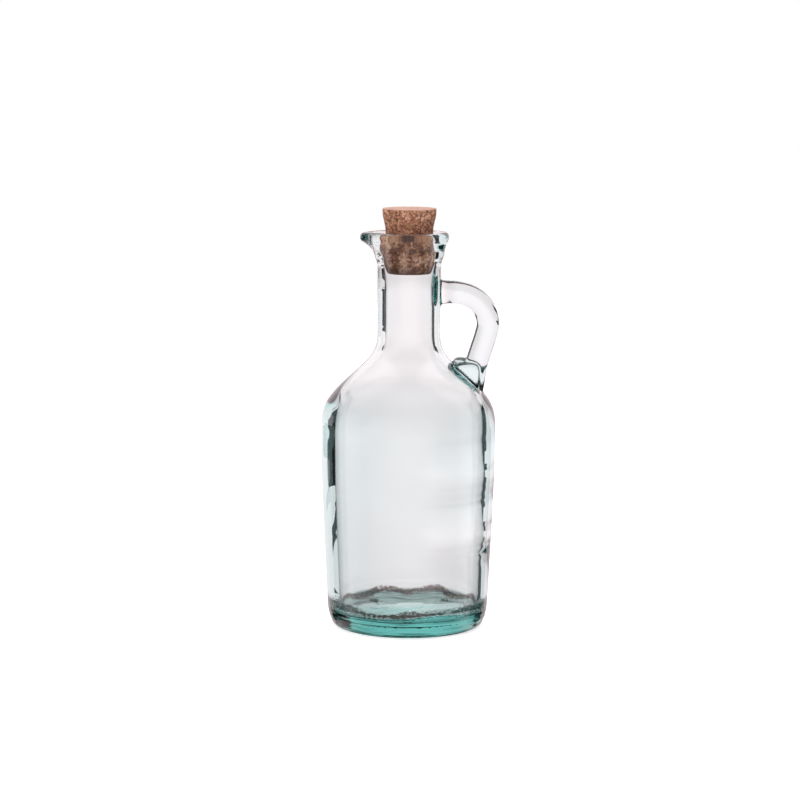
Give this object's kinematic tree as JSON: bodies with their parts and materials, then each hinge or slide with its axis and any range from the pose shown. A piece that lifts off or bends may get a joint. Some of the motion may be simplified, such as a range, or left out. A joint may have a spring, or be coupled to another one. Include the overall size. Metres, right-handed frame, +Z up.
{
  "type": "glass oil bottle with cork",
  "caption": "Thick-walled green-tinted glass bottle with a strap handle and a pulled pouring lip, closed by a tapered cork; holds and pours oil.",
  "frame": {"origin": "on the bottle's axis, in the plane of its flat underside", "axes": "+Z up along the bottle's axis, +X towards the handle, -X towards the pouring lip"},
  "size_m": [0.0871, 0.0858, 0.2063],
  "materials": {
    "bottle_glass": "gloss",
    "pressed_cork": "matt"
  },
  "bodies": {
    "root": {"bottle": "bottle_glass", "cork": "pressed_cork"}
  },
  "joints": []
}
